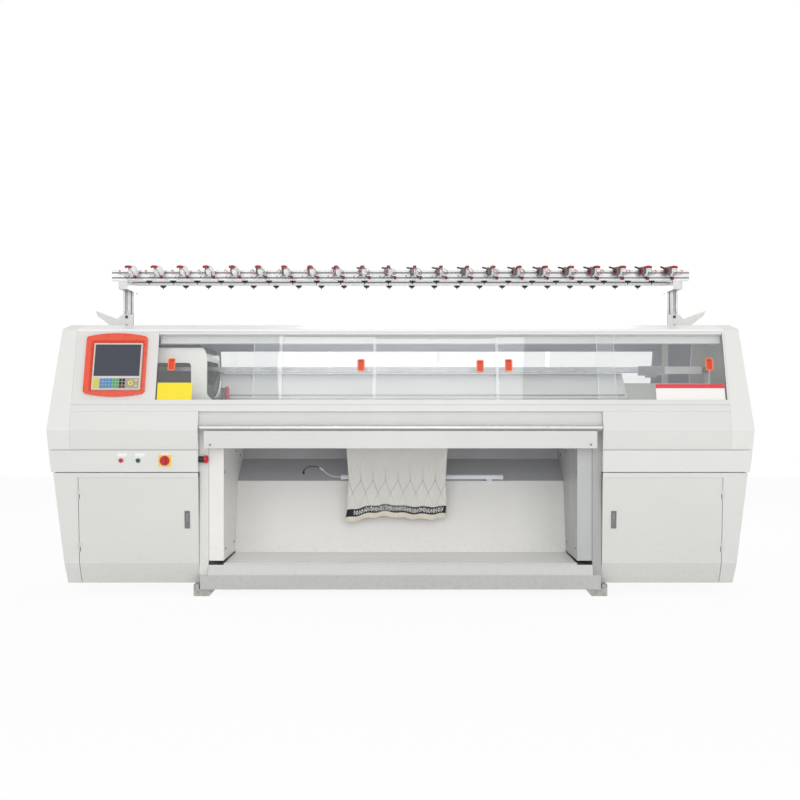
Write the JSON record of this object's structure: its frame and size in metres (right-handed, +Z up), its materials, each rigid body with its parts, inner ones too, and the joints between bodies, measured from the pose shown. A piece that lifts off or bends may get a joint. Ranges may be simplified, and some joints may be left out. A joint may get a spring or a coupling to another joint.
{
  "type": "flat knitting machine",
  "caption": "Long flat knitting machine with white covers, clear sliding windows, carriage on needle beds, control panel, side doors, open bay with hanging cloth and yarn stand on top.",
  "frame": {"origin": "on the floor, centred under the machine", "axes": "+X to the right along the machine, +Y to the rear, +Z up; the front faces -Y"},
  "size_m": [3.564, 0.9234, 1.72],
  "materials": {
    "white_cover": "satin",
    "frame_paint": "satin",
    "grey_paint": "satin",
    "light_sheet": "satin",
    "orange": "gloss",
    "screen": "gloss",
    "clear": "clear",
    "steel": "satin",
    "bar_steel": "polished",
    "aluminium": "anodised",
    "red_plastic": "gloss",
    "green_plastic": "gloss",
    "yellow_plastic": "gloss",
    "black_plastic": "matt",
    "white_plastic": "gloss",
    "rubber": "matt",
    "knit": "knitted",
    "diffuser": "frosted"
  },
  "bodies": {
    "machine": {"base_frame": "frame_paint", "levelling_feet": "grey_paint", "side_panels": "light_sheet", "floor_tray": "light_sheet", "back_panel": "light_sheet", "cabinets": "white_cover", "rear_covers": "white_cover", "mid_bands": "white_cover", "left_head_cover": "white_cover", "right_head_cover": "white_cover", "end_caps": "white_cover", "top_hood": "white_cover", "window_tracks": "aluminium", "apron": "white_cover", "panel_bezel": "orange", "display_panel": "screen", "switch_bases": "yellow_plastic", "front_needle_bed": "steel", "rear_needle_bed": "steel", "carrier_rails": "steel", "drive_belt": "rubber", "drive_motor": "black_plastic", "control_box": "grey_paint", "lamp": "diffuser", "lamp_cord": "black_plastic", "knitted_cloth": "knit", "stand_posts": "aluminium", "yarn_rails": "aluminium", "rear_windows": "clear", "tension_units": "white_plastic", "yarn_guides": "black_plastic", "cover_screws": "steel"},
    "window_1": {"window_pane_1": "clear", "window_pull_1": "orange"},
    "window_2": {"window_pane_2": "clear", "window_pull_2": "orange"},
    "window_3": {"window_pane_3": "clear", "window_pull_3": "orange"},
    "window_4": {"window_pane_4": "clear", "window_pull_4": "orange"},
    "window_5": {"window_pane_5": "clear", "window_pull_5": "orange"},
    "carriage": {"carriage_cover": "white_cover", "carriage_cam_boxes": "white_cover"},
    "yarn_carrier_1": {"yarn_carrier_1": "steel"},
    "yarn_carrier_2": {"yarn_carrier_2": "steel"},
    "yarn_carrier_3": {"yarn_carrier_3": "steel"},
    "drive_pulley": {"drive_pulley": "aluminium"},
    "idler_pulley": {"idler_pulley": "aluminium"},
    "take_down_roller": {"take_down_roller": "rubber"},
    "pinch_roller": {"pinch_roller": "steel"},
    "operating_bar": {"operating_bar": "bar_steel"},
    "red_button": {"red_button": "red_plastic"},
    "green_button": {"green_button": "green_plastic"},
    "switch_knob": {"switch_knob": "red_plastic"},
    "estop_head": {"estop_head": "red_plastic"},
    "left_door": {"left_door": "white_cover"},
    "left_lock_lever": {"left_lock_lever": "black_plastic"},
    "right_door": {"right_door": "white_cover"},
    "right_lock_lever": {"right_lock_lever": "black_plastic"}
  },
  "joints": [
    {"name": "window_1_slide", "type": "slide", "parent": "machine", "child": "window_1", "axis": [1, 0, 0], "range_m": [0, 0.6]},
    {"name": "window_2_slide", "type": "slide", "parent": "machine", "child": "window_2", "axis": [1, 0, 0], "range_m": [-0.5, 0.25]},
    {"name": "window_3_slide", "type": "slide", "parent": "machine", "child": "window_3", "axis": [1, 0, 0], "range_m": [-0.6, 0.6]},
    {"name": "window_4_slide", "type": "slide", "parent": "machine", "child": "window_4", "axis": [1, 0, 0], "range_m": [-0.3, 0.5]},
    {"name": "window_5_slide", "type": "slide", "parent": "machine", "child": "window_5", "axis": [1, 0, 0], "range_m": [-0.6, 0]},
    {"name": "carriage_slide", "type": "slide", "parent": "machine", "child": "carriage", "axis": [1, 0, 0], "range_m": [0, 2.63]},
    {"name": "yarn_carrier_1_slide", "type": "slide", "parent": "machine", "child": "yarn_carrier_1", "axis": [1, 0, 0], "range_m": [-2.6, 0]},
    {"name": "yarn_carrier_2_slide", "type": "slide", "parent": "machine", "child": "yarn_carrier_2", "axis": [1, 0, 0], "range_m": [-2.6, 0.08]},
    {"name": "yarn_carrier_3_slide", "type": "slide", "parent": "machine", "child": "yarn_carrier_3", "axis": [1, 0, 0], "range_m": [-2.6, 0.08]},
    {"name": "drive_pulley_spin", "type": "hinge", "parent": "machine", "child": "drive_pulley", "pos_m": [-1.64, 0.242, 1], "axis": [0, 1, 0], "range_deg": [-10, 3990]},
    {"name": "idler_pulley_spin", "type": "hinge", "parent": "machine", "child": "idler_pulley", "pos_m": [1.64, 0.242, 1], "axis": [0, 1, 0], "range_deg": [-10, 3990]},
    {"name": "take_down_spin", "type": "hinge", "parent": "machine", "child": "take_down_roller", "pos_m": [0, 0.027, 0.8], "axis": [1, 0, 0], "continuous": true},
    {"name": "pinch_spin", "type": "hinge", "parent": "machine", "child": "pinch_roller", "pos_m": [0, -0.027, 0.8], "axis": [1, 0, 0], "continuous": true},
    {"name": "operating_bar_tilt", "type": "hinge", "parent": "machine", "child": "operating_bar", "pos_m": [0, -0.418, 0.856], "axis": [1, 0, 0], "range_deg": [-8, 8], "stiffness_Nm_per_rad": 60, "springref_deg": -0.4},
    {"name": "red_button_press", "type": "slide", "parent": "machine", "child": "red_button", "axis": [0, 1, 0], "range_m": [0, 0.004], "stiffness_N_per_m": 600},
    {"name": "green_button_press", "type": "slide", "parent": "machine", "child": "green_button", "axis": [0, 1, 0], "range_m": [0, 0.004], "stiffness_N_per_m": 600},
    {"name": "main_switch_turn", "type": "hinge", "parent": "machine", "child": "switch_knob", "pos_m": [-1.188, -0.45, 0.69], "axis": [0, 1, 0], "range_deg": [0, 90]},
    {"name": "emergency_stop_press", "type": "slide", "parent": "machine", "child": "estop_head", "axis": [-1, 0, 0], "range_m": [0, 0.005], "stiffness_N_per_m": 800},
    {"name": "left_door_swing", "type": "hinge", "parent": "machine", "child": "left_door", "pos_m": [-1.6287, -0.40474, 0.16669], "axis": [0, -0.0649, 0.9979], "range_deg": [-110, 0]},
    {"name": "left_lock_lift", "type": "hinge", "parent": "left_door", "child": "left_lock_lever", "pos_m": [-1.079, -0.41619, 0.42349], "axis": [1, 0, 0], "range_deg": [-60, 0]},
    {"name": "right_door_swing", "type": "hinge", "parent": "machine", "child": "right_door", "pos_m": [1.6287, -0.40474, 0.16669], "axis": [0, -0.0649, 0.9979], "range_deg": [0, 110]},
    {"name": "right_lock_lift", "type": "hinge", "parent": "right_door", "child": "right_lock_lever", "pos_m": [1.079, -0.41619, 0.42349], "axis": [1, 0, 0], "range_deg": [-60, 0]}
  ],
  "couplings": [
    {"joint": "drive_pulley_spin", "follows": "carriage_slide", "rad_per_m": 26.178},
    {"joint": "idler_pulley_spin", "follows": "carriage_slide", "rad_per_m": 26.178},
    {"joint": "pinch_spin", "follows": "take_down_spin", "ratio": -1}
  ]
}
